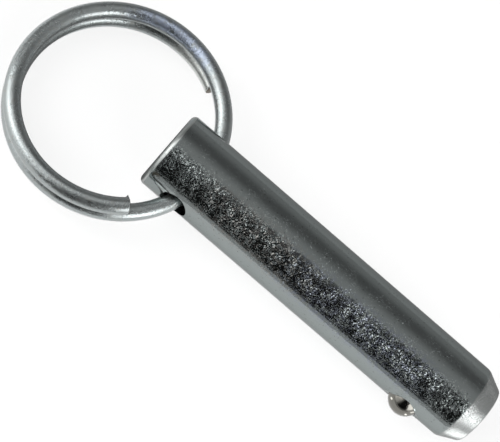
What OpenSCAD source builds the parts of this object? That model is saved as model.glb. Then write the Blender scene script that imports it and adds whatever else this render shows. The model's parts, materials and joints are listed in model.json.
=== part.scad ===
// Hitch pin: a turned shank with a sprung ball near its nose and a split ring through its head end.
// The shank lies along X and rests on a flat surface, with the ring fallen back onto the same surface.
// Origin: on the shank's axis, where the grip begins. +X runs to the nose, +Z is up.

/* [Shank] */
// Diameter of the shank
shank_d = 12.7; // [11:0.1:16]
// Grip: the plain length between the ring hole's land and the ball's land
grip_len = 38.1; // [25:0.1:80]
// Radius of the rounded edge at the head end
head_edge_r = 0.9; // [0.3:0.1:1.5]
// How much thinner the shank is at its two ends than at its grip, on the radius
end_relief = 0.02; // [0.01:0.01:0.1]

/* [Nose] */
// Plain length between the ball's coined ring and the nose
tip_land = 3.6; // [1:0.1:8]
// Length of the lead-in cone
nose_len = 3.1; // [1.5:0.1:6]
// Diameter of the flat end of the nose
nose_face_d = 9.6; // [7:0.1:10]
// Radius of the soft shoulder where the lead-in cone begins
nose_shoulder_r = 2; // [0.5:0.1:3]
// Radius of the edge round the flat end
nose_edge_r = 0.4; // [0.1:0.1:0.8]

/* [Ring hole] */
// Play of the ring's wire, with its bend, across the cross hole
ring_play = 0.47; // [0.3:0.01:1.2]
// From the head end to the middle of the cross hole
ring_hole_from_end = 6.1; // [5:0.1:9]
// Land between the cross hole and the grip
hole_land = 0.85; // [0.5:0.05:3]

/* [Gouge] */
// Length of the gouge that runs from the cross hole towards the head end
gouge_len = 3.9; // [1:0.1:4]
// Radius of the gouge's trough
gouge_r = 0.9; // [0.5:0.05:2]
// Depth of the gouge where it breaks into the hole
gouge_depth = 0.22; // [0.05:0.01:0.4]
// Turn of the gouge about the shank, up from the cross hole
gouge_turn = 12; // [0:1:20]
// Slant of the gouge against the shank's axis
gouge_slant = 12; // [0:1:30]

/* [Split ring] */
// Diameter of the ring's wire
wire_d = 2.68; // [1.6:0.02:2.8]
// Outer diameter of the ring
ring_od = 34.4; // [30:0.1:50]
// Gap between neighbouring turns
turn_gap = 0.05; // [0.02:0.01:0.4]
// Degrees of wire behind the hole, on the lower turn
lower_arc = 302; // [200:1:330]
// Degrees of wire ahead of the hole, on the upper turn
upper_arc = 312; // [200:1:330]
// How far the wire has dropped from the middle of the hole
wire_drop = 0.25; // [0:0.05:0.4]
// How far the ring has slid along the cross hole
ring_slip = 0.2; // [-0.4:0.05:0.4]

/* [Ball detent] */
// Diameter of the ball
ball_d = 5.3; // [4:0.1:5.6]
// How far the ball stands out of the shank
ball_out = 1.5; // [0.8:0.1:1.6]
// Turn of the ball's bore about the shank, down from the cross hole
detent_turn = 12; // [0:1:30]
// Running gap round the ball in its bore
ball_gap = 0.08; // [0.03:0.01:0.1]
// Gap between the ball and the lip that keeps it in
lip_gap = 0.03; // [0.01:0.01:0.04]
// Width of the coined ring round the bore's mouth
coin_w = 0.85; // [0.3:0.05:1.2]
// Depth of the coined ring
coin_depth = 0.2; // [0.1:0.01:0.3]
// Land between the coined ring and the grip
detent_land = 0.3; // [0.2:0.05:3]
// Wall left behind the bore's floor
floor_wall = 3.15; // [2:0.05:4]

/* [Detent spring] */
// Diameter of the spring's wire
spring_wire_d = 0.5; // [0.3:0.05:0.6]
// Outer diameter of the spring
spring_od = 4.6; // [3.6:0.1:5.2]
// Working turns between the two closed end turns
spring_turns = 4; // [2:0.5:5]
// Clearance between the spring and what it bears on
spring_gap = 0.02; // [0.01:0.01:0.1]

/* [Hidden] */

shank_r = shank_d / 2;
end_r = shank_r - end_relief;
ball_r = ball_d / 2;
wire_r = wire_d / 2;
steel = [0.62, 0.64, 0.64];
bright_steel = [0.72, 0.73, 0.73];
ball_steel = [0.55, 0.54, 0.52];
spring_steel = [0.45, 0.46, 0.47];

// Detent: distances out from the shank's axis along the bore
ball_centre = shank_r + ball_out - ball_r;
bore_floor = floor_wall - shank_r;
coin_floor = shank_r - coin_depth;
// Radius of the keeping lip, where the ball's round seat meets the coined ring's floor
lip_r = sqrt(pow(ball_r + lip_gap, 2) - pow(coin_floor - ball_centre, 2));

// Split ring: a helix whose turn 0 passes through the cross hole
ring_r = ring_od / 2 - wire_r;
ring_rise = wire_d + turn_gap;
ring_step = 5;
ring_sides = 14;
// The wire bends and slants in the straight hole, and its clearance is shared between middle and mouths
mouth_y = shank_r + abs(ring_slip);
mouth_depth = sqrt(ring_r * ring_r - mouth_y * mouth_y);
bend_in_hole = ring_r - mouth_depth + wire_r * (ring_r / mouth_depth - 1);
ring_centre_x = bend_in_hole / 2 - ring_r;
ring_hole_d = wire_d + bend_in_hole + ring_play;

// Stations along X, each worked out from its neighbour
hole_x = -hole_land - ring_hole_d / 2;
head_x = hole_x - ring_hole_from_end;
coin_r = lip_r + coin_w;
ball_x = grip_len + detent_land + coin_r;
shoulder_x = ball_x + coin_r + tip_land;
nose_x = shoulder_x + nose_len;

// Detent spring: heights along the bore
spring_mean_r = (spring_od - spring_wire_d) / 2;
spring_wire_r = spring_wire_d / 2;
spring_seat = ball_r + spring_wire_r + spring_gap;
spring_low = bore_floor + spring_wire_r + spring_gap;
spring_high = ball_centre - sqrt(spring_seat * spring_seat - spring_mean_r * spring_mean_r);
end_turn_rise = spring_wire_d + spring_gap;
spring_sides = 8;
spring_step = 18;

big = 2 * shank_d;
hair = 0.0002;
$fn = 96;

function unit(v) = v / norm(v);
// Half of the angle at corner p between the edges towards q and s
function half_angle(p, q, s) = acos(unit(q - p) * unit(s - p)) / 2;
// Middle of a round of radius r at corner p
function round_middle(p, q, s, r) = p + unit(unit(q - p) + unit(s - p)) * r / sin(half_angle(p, q, s));
// Where that round meets the edge towards q, a hair inside the round so that edge and arc cross cleanly
function round_touch(p, q, s, r) =
    let(touch = p + unit(q - p) * r / tan(half_angle(p, q, s)), middle = round_middle(p, q, s, r))
    touch + unit(middle - touch) * hair;

// Lowest point of the ring's wire below the cross hole's axis when the ring hangs down by a degrees
function wire_low(a) = min([
    for (t = [-lower_arc : ring_step : upper_arc])
        (ring_centre_x + ring_r * cos(t)) * sin(a) + (ring_rise * t / 360 - wire_drop) * cos(a)
]) - wire_r;
// Hang angle at which the wire touches the surface that the shank lies on, by halving
function rest_hang(low, high, tries) = let(mid = (low + high) / 2)
    tries == 0 ? mid
    : wire_low(mid) < -shank_r ? rest_hang(low, mid, tries - 1)
    : rest_hang(mid, high, tries - 1);
ring_hang = rest_hang(0, 30, 24);

// Height of the spring's wire after t degrees, with a closed turn at each end
spring_total = 360 * (spring_turns + 2);
working_rise = (spring_high - spring_low - 2 * end_turn_rise) / spring_turns;
function spring_z(t) = spring_low
    + end_turn_rise * min(t, 360) / 360
    + working_rise * min(max(t - 360, 0), 360 * spring_turns) / 360
    + end_turn_rise * max(t - spring_total + 360, 0) / 360;

// A round wire swept along a coil about Z: path holds [angle, height] pairs
module coiled_wire(path, mean_r, wire_r, sides) {
    rings = len(path);
    points = [
        for (p = path, i = [0 : sides - 1])
            let(a = 360 * i / sides, out = mean_r + wire_r * cos(a))
            [out * cos(p[0]), out * sin(p[0]), p[1] + wire_r * sin(a)]
    ];
    skin = [
        for (k = [0 : rings - 2], i = [0 : sides - 1])
            let(a = k * sides + i, b = k * sides + (i + 1) % sides)
            each [[a, a + sides, b], [b, a + sides, b + sides]]
    ];
    start_cap = [for (i = [0 : sides - 1]) i];
    end_cap = [for (i = [sides - 1 : -1 : 0]) (rings - 1) * sides + i];
    polyhedron(points, concat(skin, [start_cap, end_cap]), convexity = 8);
}

// Half section of the shank: radius along x, length along y, with its three rounded edges
module shank_section() {
    head = [end_r, head_x];
    shoulder = [end_r, shoulder_x];
    nose = [nose_face_d / 2, nose_x];
    head_axis = [0, head_x];
    nose_axis = [0, nose_x];
    grip_start = [shank_r, 0];
    grip_end = [shank_r, grip_len];
    head_rim = round_touch(head, head_axis, grip_start, head_edge_r);
    nose_rim = round_touch(nose, nose_axis, shoulder, nose_edge_r);
    polygon([
        [0, head_rim[1]],
        head_rim,
        round_touch(head, grip_start, head_axis, head_edge_r),
        grip_start,
        grip_end,
        round_touch(shoulder, grip_end, nose, nose_shoulder_r),
        round_touch(shoulder, nose, grip_end, nose_shoulder_r),
        round_touch(nose, shoulder, nose_axis, nose_edge_r),
        nose_rim,
        [0, nose_rim[1]]
    ]);
    translate(round_middle(head, head_axis, grip_start, head_edge_r)) circle(head_edge_r);
    translate(round_middle(shoulder, grip_end, nose, nose_shoulder_r)) circle(nose_shoulder_r);
    translate(round_middle(nose, shoulder, nose_axis, nose_edge_r)) circle(nose_edge_r);
}

// Puts children, which stand along +Z, on the axis of the ball's bore
module along_detent() {
    translate([ball_x, 0, 0]) rotate([90 + detent_turn, 0, 0]) children();
}

// Blind bore, the round seat that ends in the keeping lip, and the coined ring round the mouth
module detent_cavity() {
    translate([0, 0, bore_floor]) cylinder(h = ball_centre - bore_floor, r = ball_r + ball_gap);
    translate([0, 0, ball_centre]) sphere(r = ball_r + lip_gap);
    // The coining cone runs on past its floor into the seat, and past its rim into the open
    translate([0, 0, coin_floor - coin_depth])
        cylinder(h = 3 * coin_depth, r1 = lip_r - coin_w, r2 = coin_r + coin_w);
}

// Trough that dies out towards the head end: a slim cone lying on the surface
module gouge() {
    rotate([90 - gouge_turn, 0, 0])
        translate([hole_x - ring_hole_d / 3, 0, shank_r + gouge_r - gouge_depth])
        rotate([0, -90, -gouge_slant])
        cylinder(h = gouge_len, r1 = gouge_r, r2 = gouge_r - gouge_depth);
}

module shank() {
    color(steel) difference() {
        rotate([0, 90, 0]) rotate_extrude() shank_section();
        translate([hole_x, 0, 0]) rotate([90, 0, 0]) cylinder(h = big, d = ring_hole_d, center = true);
        along_detent() detent_cavity();
        gouge();
    }
}

module split_ring() {
    color(bright_steel)
        translate([hole_x, ring_slip, 0]) rotate([0, -ring_hang, 0]) translate([ring_centre_x, 0, -wire_drop])
        coiled_wire(
            [for (t = [-lower_arc : ring_step : upper_arc + ring_step / 2]) [t, ring_rise * t / 360]],
            ring_r, wire_r, ring_sides
        );
}

module detent_ball() {
    color(ball_steel) along_detent() translate([0, 0, ball_centre]) sphere(r = ball_r);
}

module detent_spring() {
    color(spring_steel) along_detent()
        coiled_wire(
            [for (t = [0 : spring_step : spring_total]) [t, spring_z(t)]],
            spring_mean_r, spring_wire_r, spring_sides
        );
}

shank();
split_ring();
detent_ball();
detent_spring();
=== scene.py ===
import json
import math

import bpy
from mathutils import Matrix, Vector


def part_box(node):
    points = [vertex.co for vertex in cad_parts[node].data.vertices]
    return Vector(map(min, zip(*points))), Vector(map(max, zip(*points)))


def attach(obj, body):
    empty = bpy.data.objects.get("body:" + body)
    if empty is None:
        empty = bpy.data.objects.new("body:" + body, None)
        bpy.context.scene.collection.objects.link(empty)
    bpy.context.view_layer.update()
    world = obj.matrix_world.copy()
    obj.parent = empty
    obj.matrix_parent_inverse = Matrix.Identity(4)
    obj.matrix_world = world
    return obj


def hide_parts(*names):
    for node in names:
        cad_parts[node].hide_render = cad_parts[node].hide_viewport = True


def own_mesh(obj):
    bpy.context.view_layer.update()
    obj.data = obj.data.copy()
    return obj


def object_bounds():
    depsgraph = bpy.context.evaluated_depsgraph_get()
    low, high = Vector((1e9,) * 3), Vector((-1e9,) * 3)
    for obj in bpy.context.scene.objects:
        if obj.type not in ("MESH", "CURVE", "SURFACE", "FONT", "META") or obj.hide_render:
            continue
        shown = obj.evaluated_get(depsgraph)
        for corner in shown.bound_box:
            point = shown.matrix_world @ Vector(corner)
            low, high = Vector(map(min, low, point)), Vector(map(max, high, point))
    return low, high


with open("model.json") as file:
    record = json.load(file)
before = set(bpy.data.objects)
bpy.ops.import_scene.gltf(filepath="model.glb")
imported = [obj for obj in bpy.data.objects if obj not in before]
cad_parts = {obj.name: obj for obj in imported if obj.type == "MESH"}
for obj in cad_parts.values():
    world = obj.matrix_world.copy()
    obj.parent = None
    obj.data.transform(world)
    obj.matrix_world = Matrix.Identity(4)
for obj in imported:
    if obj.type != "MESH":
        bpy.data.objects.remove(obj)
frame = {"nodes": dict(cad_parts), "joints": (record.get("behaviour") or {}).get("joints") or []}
cad_low, cad_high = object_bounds()

scene = bpy.context.scene
scene.view_settings.view_transform = "Standard"
MM = 0.001

# ---------------------------------------------------------------- camera
SENSOR_WIDTH = 36
FOCAL_LENGTH = 138.46
CLIP_NEAR = 0.01
CLIP_FAR = 20
CAMERA_RIGHT = Vector((0.75580466, 0.5803603, 0.30321812))
CAMERA_UP = Vector((-0.65187804, 0.71057579, 0.26483404))
CAMERA_BACK = Vector((-0.06176029, -0.39782403, 0.91538063))
CAMERA_AT = Vector((-10.3855, -113.0103, 259.4935)) * MM

camera_data = bpy.data.cameras.new("camera")
camera_data.sensor_width = SENSOR_WIDTH
camera_data.lens = FOCAL_LENGTH
camera_data.clip_start = CLIP_NEAR
camera_data.clip_end = CLIP_FAR
camera = bpy.data.objects.new("camera", camera_data)
place = Matrix((CAMERA_RIGHT, CAMERA_UP, CAMERA_BACK)).transposed().to_4x4()
place.translation = CAMERA_AT
camera.matrix_world = place
scene.collection.objects.link(camera)
scene.camera = camera


# ---------------------------------------------------------------- node helpers
class Shader:
    """Builds the nodes of one material, or of the world."""

    def __init__(self, name, kind="material"):
        is_world = kind == "world"
        made = bpy.data.worlds.new(name) if is_world else bpy.data.materials.new(name)
        made.use_nodes = True
        self.material = made
        self.tree = made.node_tree
        self.tree.nodes.clear()
        self.out = self.node("ShaderNodeOutputWorld" if is_world else "ShaderNodeOutputMaterial")

    def node(self, kind, **settings):
        made = self.tree.nodes.new(kind)
        for key, value in settings.items():
            setattr(made, key, value)
        return made

    def link(self, source, target):
        self.tree.links.new(source, target)

    def feed(self, socket, value):
        if isinstance(value, bpy.types.NodeSocket):
            self.link(value, socket)
        else:
            socket.default_value = value

    def coords(self):
        """Object coordinates in millimetres."""
        where = self.node("ShaderNodeTexCoord")
        mapping = self.node("ShaderNodeMapping")
        mapping.inputs["Scale"].default_value = (1 / MM, 1 / MM, 1 / MM)
        self.link(where.outputs["Object"], mapping.inputs["Vector"])
        return mapping.outputs["Vector"]

    def xyz(self, vector):
        made = self.node("ShaderNodeSeparateXYZ")
        self.link(vector, made.inputs[0])
        return made.outputs[0], made.outputs[1], made.outputs[2]

    def math(self, operation, a, b=0.0):
        made = self.node("ShaderNodeMath", operation=operation)
        self.feed(made.inputs[0], a)
        self.feed(made.inputs[1], b)
        return made.outputs[0]

    def times(self, value, *factors):
        for factor in factors:
            value = self.math("MULTIPLY", value, factor)
        return value

    def plus(self, value, *terms):
        for term in terms:
            value = self.math("ADD", value, term)
        return value

    def degrees(self, radians):
        return self.times(radians, 180 / math.pi)

    def vector(self, operation, a, b=(0, 0, 0), scale=None):
        made = self.node("ShaderNodeVectorMath", operation=operation)
        self.feed(made.inputs[0], a)
        self.feed(made.inputs[1], b)
        if scale is not None:
            self.feed(made.inputs["Scale"], scale)
        return made.outputs["Value" if operation in ("DOT_PRODUCT", "LENGTH") else "Vector"]

    def span(self, value, low, high, to_low=0.0, to_high=1.0):
        """A smooth step from to_low, where value is low, to to_high, where it is high."""
        made = self.node("ShaderNodeMapRange", clamp=True)
        made.interpolation_type = "SMOOTHSTEP"
        self.feed(made.inputs["Value"], value)
        made.inputs["From Min"].default_value = low
        made.inputs["From Max"].default_value = high
        self.feed(made.inputs["To Min"], to_low)
        self.feed(made.inputs["To Max"], to_high)
        return made.outputs["Result"]

    def plateau(self, value, start, full, fade, end):
        """1 between full and fade, falling smoothly to 0 at start and end."""
        return self.times(self.span(value, start, full), self.span(value, end, fade))

    def noise(self, vector, scale, detail=2.0, roughness=0.5, output="Fac"):
        made = self.node("ShaderNodeTexNoise")
        self.feed(made.inputs["Vector"], vector)
        made.inputs["Scale"].default_value = scale
        made.inputs["Detail"].default_value = detail
        made.inputs["Roughness"].default_value = roughness
        return made.outputs[output]

    def stripes(self, along, scale, detail=2.0):
        """Noise that changes in one direction only."""
        made = self.node("ShaderNodeTexNoise", noise_dimensions="1D")
        self.feed(made.inputs["W"], along)
        made.inputs["Scale"].default_value = scale
        made.inputs["Detail"].default_value = detail
        return made.outputs["Fac"]

    def cells(self, vector, scale):
        made = self.node("ShaderNodeTexVoronoi")
        self.feed(made.inputs["Vector"], vector)
        made.inputs["Scale"].default_value = scale
        return made

    def facets(self, at, scale, slope, heavy):
        """Height in millimetres of small flat grains, each tilted its own way.

        The larger heavy is, the fewer of them are steep.
        """
        grains = self.cells(at, scale)
        local = self.vector("SUBTRACT", at, grains.outputs["Position"])
        lean = self.vector("SUBTRACT", grains.outputs["Color"], (0.5, 0.5, 0.5))
        size = self.vector("LENGTH", lean)
        lean = self.vector("SCALE", lean, scale=self.math("POWER", self.times(size, 1.4), heavy))
        return self.vector("DOT_PRODUCT", local, self.vector("MULTIPLY", lean, slope))

    def blend(self, factor, a, b):
        made = self.node("ShaderNodeMix", data_type="RGBA")
        self.feed(made.inputs["Factor"], factor)
        self.feed(made.inputs["A"], a)
        self.feed(made.inputs["B"], b)
        return made.outputs["Result"]

    def both(self, a, b):
        """The sum of two shaders."""
        made = self.node("ShaderNodeAddShader")
        self.link(a, made.inputs[0])
        self.link(b, made.inputs[1])
        return made.outputs[0]

    def bump(self, height, distance=MM):
        made = self.node("ShaderNodeBump")
        made.inputs["Strength"].default_value = 1.0
        made.inputs["Distance"].default_value = distance
        self.feed(made.inputs["Height"], height)
        return made.outputs["Normal"]

    def metal(self, color, roughness, normal, **sockets):
        made = self.node("ShaderNodeBsdfPrincipled")
        made.inputs["Metallic"].default_value = 1.0
        self.feed(made.inputs["Base Color"], color)
        self.feed(made.inputs["Roughness"], roughness)
        for name, value in sockets.items():
            made.inputs[name].default_value = value
        self.link(normal, made.inputs["Normal"])
        self.link(made.outputs["BSDF"], self.out.inputs["Surface"])
        return self.material


# ---------------------------------------------------------------- plated shank
# Each zone is the start, full, fade and end of a plateau, in millimetres.
SHOULDER_X = 48.7
HEAD_EDGE_X = -8.55
BLUE_ALONG = (10, 20, 38, 46)
BROWN_ALONG = (-4, 2, 14, 24)
PATCH_ALONG, PATCH_ACROSS = (27, 31, 37, 41), (-5.2, -4.3, -3.0, -2.4)
WORN_ALONG, WORN_ACROSS = (-8.4, -7, -2, 2), (-3.1, -2.5, -1.7, -1.1)
GOUGE_ALONG = (-5.6, -5.3, -1.7, -1.5)  # from the middle of the cross hole
GOUGE_RADII = (6.31, 6.27)
GRAINS_PER_MM = 7.0
SHANK_SPECULAR = (0.6, 0.6, 0.6, 1)

swing = next(j for j in frame["joints"] if j["name"] == "ring_swing")
hole = Vector(swing["pos_m"]) / MM


def shank_relief(s, at, nose):
    """Height in millimetres: the plating's grain, its soft waves and the nose's turned lines."""
    x, y, z = s.xyz(at)
    clump = s.noise(at, 0.6, 3.0, 0.6)
    steep = s.times(
        s.span(clump, 0.38, 0.62, 0.35, 1.4),
        s.span(y, -1.1, -2.2, 0.3, 1.0),
        s.span(z, 2.6, 5.0, 0.3, 1.0),
        s.span(x, -6, 12, 0.7, 1.05),
    )
    patch = s.times(s.plateau(x, *PATCH_ALONG), s.plateau(y, *PATCH_ACROSS))
    worn = s.times(s.plateau(x, *WORN_ALONG), s.plateau(y, *WORN_ACROSS))
    patches = s.plus(s.times(patch, 0.5), s.times(worn, 0.7))
    steep = s.plus(steep, s.times(patches, s.span(z, 1.0, 3.0)))
    bend = s.noise(at, 4.0, 1.0, output="Color")
    warped = s.vector("ADD", at, s.vector("SCALE", bend, scale=0.25))
    slope = s.blend(nose, (0.72, 0.12, 0.12, 1), (0.5, 0.5, 0.5, 1))
    grain = s.times(s.facets(warped, GRAINS_PER_MM, slope, 3.0), steep)
    waves = s.times(s.noise(at, 1.1), 0.008)
    lines = s.times(s.stripes(x, 9.0), 0.02, nose)
    return s.plus(grain, waves, lines)


def plated_shank():
    """Dull grey plating with tinted zones, dark specks, a painted sheen on the head's rounded
    edge, a painted glint in the gouge and a turned nose.
    """
    s = Shader("plated_shank")
    at = s.coords()
    x, y, z = s.xyz(at)
    nose = s.span(x, SHOULDER_X - 0.15, SHOULDER_X + 0.15)
    # edge marks the head's rounded edge, whose lighter colour below is a painted sheen
    edge = s.span(x, HEAD_EDGE_X + 0.1, HEAD_EDGE_X - 0.1)
    radius = s.vector("LENGTH", s.vector("MULTIPLY", at, (0, 1, 1)))
    # the gouge is cut into the shank; its pale colour below is a painted glint
    gouge = s.times(
        s.span(radius, *GOUGE_RADII),
        s.plateau(x, *[hole.x + reach for reach in GOUGE_ALONG]),
        s.span(y, -5.0, -5.6),
    )
    flank = s.times(s.span(z, 1.2, 3.6), s.span(y, 0.0, -2.5))
    tint = s.noise(at, 1.6, 2.0, 0.6)
    blue = s.times(s.plateau(x, *BLUE_ALONG), s.span(tint, 0.42, 0.6))
    brown = s.times(s.plateau(x, *BROWN_ALONG), s.span(tint, 0.58, 0.4))
    specks = s.cells(at, 1.5)
    chosen = s.math("GREATER_THAN", s.xyz(specks.outputs["Color"])[0], 0.35)
    speck = s.times(s.span(specks.outputs["Distance"], 0.2, 0.1), chosen)

    broad = s.noise(at, 0.35)
    color = s.blend(broad, (0.27, 0.30, 0.298, 1), (0.295, 0.322, 0.318, 1))
    color = s.blend(s.times(flank, blue), color, (0.26, 0.285, 0.33, 1))
    color = s.blend(s.times(flank, brown), color, (0.285, 0.287, 0.275, 1))
    color = s.blend(s.times(speck, 0.6), color, (0.10, 0.105, 0.10, 1))
    color = s.blend(nose, color, (0.37, 0.385, 0.38, 1))
    # painted sheen: the head's rounded edge is made lighter
    color = s.blend(edge, color, (0.43, 0.45, 0.44, 1))
    # painted glint: the gouge's pale colour stands in for the light it catches
    color = s.blend(gouge, color, (0.8, 0.85, 0.83, 1))
    rough = s.span(broad, 0.3, 0.7, 0.08, 0.12)
    rough = s.plus(rough, s.times(nose, 0.14), s.times(edge, 0.2), s.times(gouge, 0.35))
    normal = s.bump(shank_relief(s, at, nose))
    return s.metal(color, rough, normal, **{"Specular Tint": SHANK_SPECULAR})


# ---------------------------------------------------------------- other materials
# Millimetres along the wire's middle line, and round it.
WIRE_BLUE_ALONG = (16.5, 21.5, 29, 36)
WIRE_BLUE_ROUND = (3.3, 4.2, 5.4, 6.2)
# the stretch at the lower end that is painted lighter, a painted highlight
WIRE_PAINTED_HIGHLIGHT_ALONG = (-84.5, -83.2, -79, -71)
DRAW_MARKS = (0.2, 6.0, 1.0)


def plated_wire():
    """Bright plated wire: draw marks along it, a fine grain, stains and a painted highlight on its
    lower end.
    """
    s = Shader("plated_wire")
    at = s.coords()
    unrolled = s.node("ShaderNodeUVMap", uv_map="along_wire").outputs["UV"]
    along, around, _ = s.xyz(unrolled)
    marks = s.noise(s.vector("MULTIPLY", unrolled, DRAW_MARKS), 1.0, 2.0, 0.6)
    soft = s.noise(at, 0.45)
    grain = s.facets(at, 6.0, (0.16, 0.16, 0.16), 1.5)
    normal = s.bump(s.plus(s.times(marks, 0.010), s.times(soft, 0.02), grain))
    stain = s.noise(at, 0.3, 2.0, 0.6)
    brown = s.span(s.noise(at, 1.3), 0.5, 0.8, 0.0, 0.4)
    blue = s.times(
        s.plateau(along, *WIRE_BLUE_ALONG),
        s.span(s.noise(at, 0.9), 0.25, 0.55),
        s.plateau(around, *WIRE_BLUE_ROUND),
    )
    color = s.blend(stain, (0.35, 0.385, 0.39, 1), (0.39, 0.415, 0.41, 1))
    color = s.blend(brown, color, (0.34, 0.32, 0.29, 1))
    color = s.blend(blue, color, (0.52, 0.59, 0.72, 1))
    # painted highlight on the wire's lower end
    color = s.blend(s.plateau(along, *WIRE_PAINTED_HIGHLIGHT_ALONG), color, (0.58, 0.60, 0.58, 1))
    return s.metal(color, s.span(stain, 0.3, 0.7, 0.22, 0.31), normal)


def cut_steel():
    """The sheared end faces of the wire."""
    s = Shader("cut_steel")
    tears = s.noise(s.vector("MULTIPLY", s.coords(), (1.0, 1.0, 0.25)), 7.0, 3.0, 0.6)
    color = s.blend(tears, (0.07, 0.06, 0.045, 1), (0.24, 0.21, 0.17, 1))
    return s.metal(color, s.span(tears, 0.3, 0.7, 0.3, 0.5), s.bump(tears, 0.04 * MM))


def ball_steel():
    """A hard ball with a few fine scuffs and a dark base colour that varies a little in tone."""
    s = Shader("ball_steel")
    at = s.coords()
    dark_tone = s.noise(at, 1.1, 3.0, 0.6)
    scuffs = s.noise(s.vector("MULTIPLY", at, (7.0, 1.2, 1.2)), 1.4, 3.0, 0.7)
    normal = s.bump(s.span(scuffs, 0.5, 0.75), 0.004 * MM)
    color = s.blend(dark_tone, (0.17, 0.165, 0.145, 1), (0.21, 0.205, 0.19, 1))
    return s.metal(color, s.span(dark_tone, 0.3, 0.7, 0.07, 0.13), normal)


def spring_wire():
    """Plain drawn spring steel."""
    s = Shader("spring_wire")
    grain = s.noise(s.coords(), 6.0, 3.0, 0.6)
    color = s.blend(grain, (0.25, 0.255, 0.26, 1), (0.34, 0.345, 0.35, 1))
    return s.metal(color, s.span(grain, 0.3, 0.7, 0.25, 0.36), s.bump(grain, 0.01 * MM))


# ---------------------------------------------------------------- mesh helpers
def finish_with(obj, material):
    obj.data.materials.clear()
    obj.data.materials.append(material)


def new_mesh(name, verts, faces):
    mesh = bpy.data.meshes.new(name)
    mesh.from_pydata(verts, [], faces)
    for polygon in mesh.polygons:
        polygon.use_smooth = True
    mesh.update()
    obj = bpy.data.objects.new(name, mesh)
    scene.collection.objects.link(obj)
    return obj


# ---------------------------------------------------------------- split ring
WIRE_R = 1.315
WIRE_SIDES = 48
RING_R = 15.86
RING_RISE = 2.73  # per turn
RING_CENTRE_X = -15.086
RING_DROP = 0.25
RING_SLIP = 0.2
RING_HANG = math.radians(6.21)
LOWER_END = -302.3  # degrees round the ring
UPPER_END = 312.2
END_LENGTH = 2.0
END_STEPS = (2.0, 1.6, 1.2, 0.9, 0.7, 0.5, 0.35, 0.22, 0.1, 0.0)  # millimetres before the cut
ROUNDING_STEPS = 6
ROUNDING_STEP = 15  # degrees
CUT_SHARES = (0.8, 0.55, 0.28)  # rows on the cut face, as shares of its radius
CUT_BULGE = 0.05
hang = Matrix.Rotation(-RING_HANG, 4, "Y")
side_angles = [2 * math.pi * i / WIRE_SIDES - math.pi / 2 for i in range(WIRE_SIDES)]


def on_ring(degrees, out, rise):
    """A point of the coil: out from its middle line and up from it, at an angle round the ring."""
    a = math.radians(degrees)
    local = Vector((
        RING_CENTRE_X + (RING_R + out) * math.cos(a),
        (RING_R + out) * math.sin(a),
        RING_RISE * degrees / 360 - RING_DROP + rise,
    ))
    return (hang @ local + Vector((hole.x, RING_SLIP, 0))) * MM


def end_rows(tip, way, rounding, lean, burr):
    """Rows of (distance along the wire, distance from its middle), from its body to its cut face.

    rounding is the radius of the cut's edge, lean is how far back the cut lies and burr is how far
    the metal stands out, each as a function of the angle round the wire.
    """
    rows = []
    for before in END_STEPS:
        share = 1 - before / END_LENGTH
        row = []
        for a in side_angles:
            back = before + share * (rounding(a) + lean(a))
            row.append((tip - way * back, WIRE_R + burr(a, back - lean(a))))
        rows.append(row)
    for step in range(1, ROUNDING_STEPS + 1):
        turn = math.radians(ROUNDING_STEP * step)
        row = []
        for a in side_angles:
            r = rounding(a)
            back = lean(a) + r * (1 - math.sin(turn))
            out = WIRE_R - r * (1 - math.cos(turn)) + burr(a, back - lean(a))
            row.append((tip - way * back, out))
        rows.append(row)
    for share in CUT_SHARES:
        row = []
        for a in side_angles:
            bulge = CUT_BULGE * math.sin(2.3 * a + 9 * share) * share
            row.append((tip - way * (lean(a) * share + bulge), (WIRE_R - rounding(a)) * share))
        rows.append(row)
    return rows


def sheared_burr(a, back):
    """The thin lip that the shears left on one side of the upper end."""
    return (0.36 * math.exp(-(((a - math.pi + 0.12) / 0.3) ** 2))
            * math.exp(-((back / 0.26) ** 2)))


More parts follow.
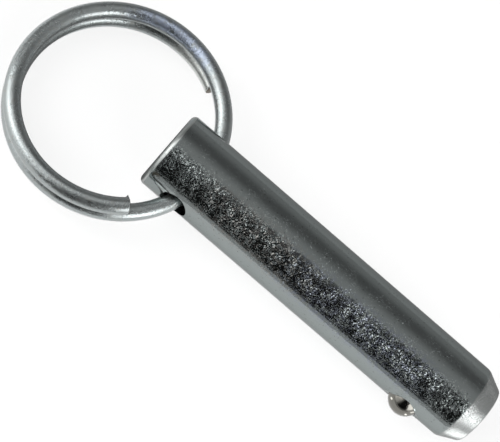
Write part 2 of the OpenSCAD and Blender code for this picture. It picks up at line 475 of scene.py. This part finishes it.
def make_ring():
    lower = end_rows(
        math.radians(LOWER_END) * RING_R, -1,
        lambda a: 0.26 + 0.1 * math.cos(a - 2.2),
        lambda a: 0.14 * (1 - math.cos(a - math.pi)),
        lambda a, back: 0.0,
    )
    upper = end_rows(
        math.radians(UPPER_END) * RING_R, 1,
        lambda a: 0.1 + 0.42 * (0.5 + 0.5 * math.cos(a + 0.35)) ** 2,
        lambda a: 0.10 * (1 - math.cos(a - 1.7)),
        sheared_burr,
    )
    first, last = lower[0][0][0], upper[0][0][0]
    count = int((last - first) / (math.radians(1.0) * RING_R))
    body = [[(first + (last - first) * k / count, WIRE_R)] * WIRE_SIDES for k in range(1, count)]
    rows = lower[::-1] + body + upper
    verts, faces, finish = [], [], []
    for row in rows:
        for a, (along, r) in zip(side_angles, row):
            degrees = math.degrees(along / RING_R)
            verts.append(on_ring(degrees, r * math.cos(a), r * math.sin(a)))
    cut_rows = len(CUT_SHARES) + 3  # the cut face and half of its rounded edge
    for k in range(len(rows) - 1):
        cut = k < cut_rows or k >= len(rows) - 1 - cut_rows
        near, far = k * WIRE_SIDES, (k + 1) * WIRE_SIDES
        for i in range(WIRE_SIDES):
            j = (i + 1) % WIRE_SIDES
            faces.append((near + i, far + i, far + j, near + j))
            finish.append(1 if cut else 0)
    final = (len(rows) - 1) * WIRE_SIDES
    verts.append(on_ring(LOWER_END, 0, 0))
    verts.append(on_ring(UPPER_END, 0, 0))
    for i in range(WIRE_SIDES):
        j = (i + 1) % WIRE_SIDES
        faces.append((i, j, len(verts) - 2))
        faces.append((final + j, final + i, len(verts) - 1))
        finish += [1, 1]
    ring = new_mesh("ring_wire", verts, faces)
    layer = ring.data.uv_layers.new(name="along_wire")
    for polygon in ring.data.polygons:
        if len(polygon.vertices) == 4:
            k, i = divmod(polygon.index, WIRE_SIDES)
            corners = ((k, i), (k + 1, i), (k + 1, i + 1), (k, i + 1))
            for loop, (row, side) in zip(polygon.loop_indices, corners):
                layer.data[loop].uv = (rows[row][i][0], 2 * math.pi * WIRE_R * side / WIRE_SIDES)
    ring.data.materials.append(plated_wire())
    ring.data.materials.append(cut_steel())
    for polygon, material in zip(ring.data.polygons, finish):
        polygon.material_index = material
    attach(ring, "ring")
    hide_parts("split_ring")


# ---------------------------------------------------------------- detent spring
SPRING_WIRE_R = 0.25
SPRING_MEAN_R = 2.05
SPRING_TURNS = 4
SPRING_LOW = -2.93
SPRING_HIGH = 3.12
END_TURN_RISE = 0.52
SPRING_SIDES = 14
STEPS_PER_TURN = 36


def spring_height(turn):
    """Height along the bore after so many turns, with a closed turn at each end."""
    working = (SPRING_HIGH - SPRING_LOW - 2 * END_TURN_RISE) / SPRING_TURNS
    return (SPRING_LOW + END_TURN_RISE * min(turn, 1)
            + working * min(max(turn - 1, 0), SPRING_TURNS)
            + END_TURN_RISE * max(turn - SPRING_TURNS - 1, 0))


def make_spring():
    press = next(j for j in frame["joints"] if j["name"] == "ball_press")
    inward = Vector(press["axis"]).normalized()
    outward = -inward
    ball_low, ball_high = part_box("detent_ball")
    centre = (Vector(ball_low) + Vector(ball_high)) / 2 / MM
    origin = centre - outward * centre.dot(outward)
    side = Vector((1, 0, 0))
    across = outward.cross(side)
    sides, turns = SPRING_SIDES, SPRING_TURNS + 2
    steps = STEPS_PER_TURN * turns
    verts, faces = [], []
    for k in range(steps + 1):
        turn = turns * k / steps
        a = 2 * math.pi * turn
        radial = side * math.cos(a) + across * math.sin(a)
        middle = origin + radial * SPRING_MEAN_R + outward * spring_height(turn)
        for i in range(sides):
            b = 2 * math.pi * i / sides
            spoke = radial * math.cos(b) + outward * math.sin(b)
            verts.append((middle + SPRING_WIRE_R * spoke) * MM)
    for k in range(steps):
        near, far = k * sides, (k + 1) * sides
        for i in range(sides):
            j = (i + 1) % sides
            faces.append((near + i, near + j, far + j, far + i))
    faces.append(tuple(reversed(range(sides))))
    faces.append(tuple(steps * sides + i for i in range(sides)))
    spring = new_mesh("spring_coil", verts, faces)
    finish_with(spring, spring_wire())
    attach(spring, "pin")
    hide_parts("detent_spring")
    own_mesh(spring)


# ---------------------------------------------------------------- studio
FLOOR_SIZE = 3.0
FLOOR_GREY = (0.5, 0.5, 0.5, 1)
FLOOR_GREY_SEEN = (0.3, 0.3, 0.3, 1)  # what the camera sees of it; the world's white adds the rest
FLOOR_OPAQUE = (0, 0, 0, 1)
FLOOR_CLEAR_SEEN = (0.8, 0.8, 0.8, 1)
FLOOR_GLOW = 0.66  # its level in reflections
CARD_HEIGHT = 0.6  # millimetres above the floor
KICKER_LEVEL = 5.0
LYING_CARDS = {
    # the dim card behind the shank stands in for the object's shadow on the floor there, a painted
    # shadow that only reflections show
    "shadow_card_behind": (0.5, [(-3, 3.5), (110, 3.5), (900, 2900), (-1200, 2900), (-70, 19.5),
                          (-3, 19.5)]),
    "card_middle": (0.55, [(-15, -30), (-32, -80), (108, -80), (95, -30)]),
    "card_front": (0.04, [(-32, -80), (-100, -900), (300, -900), (108, -80)]),
}
LEFT_LEVEL = 1.7
LEFT_CORE = 0.7
RIGHT_LEVEL = 4.5
FILL_LEVEL = 1.5
REAR_LEVEL = 0.3
SIDE_LEVEL = 0.5
ZENITH_LEVEL = 0.56
WORLD_LEVEL = 0.8


def make_floor():
    """A white floor with a faint shadow. What swings below it still shows through it."""
    s = Shader("floor")
    path = s.node("ShaderNodeLightPath").outputs
    seen = path["Is Camera Ray"]
    reflected = s.math("MAXIMUM", path["Is Glossy Ray"], path["Is Transmission Ray"])
    diffuse = s.node("ShaderNodeBsdfDiffuse")
    s.feed(diffuse.inputs["Color"], s.blend(seen, FLOOR_GREY, FLOOR_GREY_SEEN))
    glow = s.node("ShaderNodeEmission")
    s.link(s.times(reflected, FLOOR_GLOW), glow.inputs["Strength"])
    clear = s.node("ShaderNodeBsdfTransparent")
    s.feed(clear.inputs["Color"], s.blend(seen, FLOOR_OPAQUE, FLOOR_CLEAR_SEEN))
    surface = s.both(s.both(diffuse.outputs[0], glow.outputs[0]), clear.outputs[0])
    s.link(surface, s.out.inputs["Surface"])
    z, w = cad_low.z, FLOOR_SIZE
    floor = new_mesh("floor", [(-w, -w, z), (w, -w, z), (w, w, z), (-w, w, z)], [(0, 1, 2, 3)])
    finish_with(floor, s.material)


def card(name, level, corners, one_sided=False):
    """A card that only the metal sees.

    A one-sided card shines on the side from which its corners run anticlockwise.
    """
    s = Shader(name)
    glow = s.node("ShaderNodeEmission")
    glow.inputs["Strength"].default_value = level
    shine = glow.outputs["Emission"]
    if one_sided:
        mix = s.node("ShaderNodeMixShader")
        s.link(s.node("ShaderNodeNewGeometry").outputs["Backfacing"], mix.inputs[0])
        s.link(shine, mix.inputs[1])
        s.link(s.node("ShaderNodeBsdfTransparent").outputs[0], mix.inputs[2])
        shine = mix.outputs[0]
    s.link(shine, s.out.inputs["Surface"])
    verts = [Vector(corner) * MM for corner in corners]
    panel = new_mesh(name, verts, [tuple(range(len(corners)))])
    finish_with(panel, s.material)
    panel.visible_camera = False
    panel.visible_diffuse = False
    panel.visible_shadow = False


def oval(centre, first, second, step=20):
    """Points round an oval from two half axes, a step of so many degrees apart."""
    centre, first, second = Vector(centre), Vector(first), Vector(second)
    turns = [math.radians(a) for a in range(0, 360, step)]
    return [centre + first * math.cos(a) + second * math.sin(a) for a in turns]


def make_cards():
    """Cards on the table that the metal's lower side reflects, two of them dim as painted shadow
    on the floor behind the shank and inside the ring, and two reflectors by the ball.
    """
    z = cad_low.z / MM + CARD_HEIGHT
    for name, (level, corners) in LYING_CARDS.items():
        card(name, level, [(x, y, z) for x, y in corners])
    # the dim card inside the ring stands in for the ring's shadow on the floor, a painted shadow
    # that only reflections show
    card("shadow_card_ring", 0.25, oval((-20.5, -0.5, z), (12, 0, 0), (0, 12, 0), 10))
    card("card_nose", 4.0, oval((59.5, -11.5, z), (5.5, -4.0, 0), (1.6, 2.2, 0)))
    low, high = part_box("detent_ball")
    ball = (Vector(low) + Vector(high)) / 2 / MM
    left = ball + Vector((-2.966, -2.434, -0.199))
    right = ball + Vector((2.244, -2.914, -0.279))
    card("kicker_left", KICKER_LEVEL, oval(left, (0, 0.45, 0), (0, 0, 0.45)), True)
    card("kicker_right", KICKER_LEVEL, oval(right, (0, 0.4, 0), (0, 0, -0.4)), True)


def make_world():
    """A grey room with softboxes to the left and right of the front, and dark flags between them.

    All angles are in degrees: around is the compass direction from the front, rise the height
    above the horizon, over the way from the front across the top, and leftward the way to -x.
    """
    s = Shader("studio", "world")
    x, y, z = s.xyz(s.node("ShaderNodeTexCoord").outputs["Generated"])
    forward = s.times(y, -1)
    around = s.degrees(s.math("ARCTAN2", x, forward))
    rise = s.degrees(s.math("ARCSINE", z))
    over = s.degrees(s.math("ARCTAN2", z, forward))
    leftward = s.times(s.math("ARCSINE", x), -180 / math.pi)

    # the softboxes: a large one with a brighter core, a narrow one and a weak fill
    left = s.times(s.plateau(leftward, 2, 33, 68, 88), s.plateau(over, 31, 67, 90, 127))
    core = s.times(s.plateau(leftward, 30, 42, 56, 68), s.plateau(over, 46, 62, 82, 104))
    left = s.plus(left, s.times(core, LEFT_CORE))
    right = s.times(s.plateau(around, 36, 48, 68, 86), s.plateau(rise, -4, 8, 38, 50))
    fill = s.times(s.plateau(around, -104, -80, -42, -12), s.plateau(rise, -16, 2, 34, 56))
    boxes = s.plus(s.times(left, LEFT_LEVEL), s.times(right, RIGHT_LEVEL),
                   s.times(fill, FILL_LEVEL))

    # the room: dark in front, grey behind and at the sides, with a pale strip overhead
    front = s.span(rise, 57, 76, 0.02, 0.13)
    behind = s.span(rise, 8, 36, 0.42, 0.2)
    turned_away = s.span(s.math("ABSOLUTE", s.plus(around, -6)), 46, 70)
    facing = s.math("SUBTRACT", 1.0, turned_away)
    side = s.plateau(s.math("ABSOLUTE", around), 40, 66, 84, 112)
    base = s.plus(s.times(behind, turned_away), s.times(front, facing))
    base = s.plus(base, s.times(side, SIDE_LEVEL))
    zenith = s.times(s.plateau(over, 79, 93, 98, 136), s.span(rise, 30, 58))
    base = s.plus(base, s.times(s.math("SUBTRACT", ZENITH_LEVEL, base), zenith))
    rear = s.times(s.plateau(around, 92, 108, 124, 148), s.plateau(rise, 0, 16, 44, 62))

    level = s.plus(base, boxes, s.times(rear, REAR_LEVEL))
    path = s.node("ShaderNodeLightPath").outputs
    seen = s.math("MAXIMUM", s.times(level, WORLD_LEVEL), path["Is Camera Ray"])
    sky = s.node("ShaderNodeBackground")
    sky.inputs["Color"].default_value = (1, 1, 1, 1)
    s.link(seen, sky.inputs["Strength"])
    s.link(sky.outputs["Background"], s.out.inputs["Surface"])
    scene.world = s.material


make_ring()
make_spring()
finish_with(frame["nodes"]["shank"], plated_shank())
finish_with(frame["nodes"]["detent_ball"], ball_steel())
make_floor()
make_world()
make_cards()
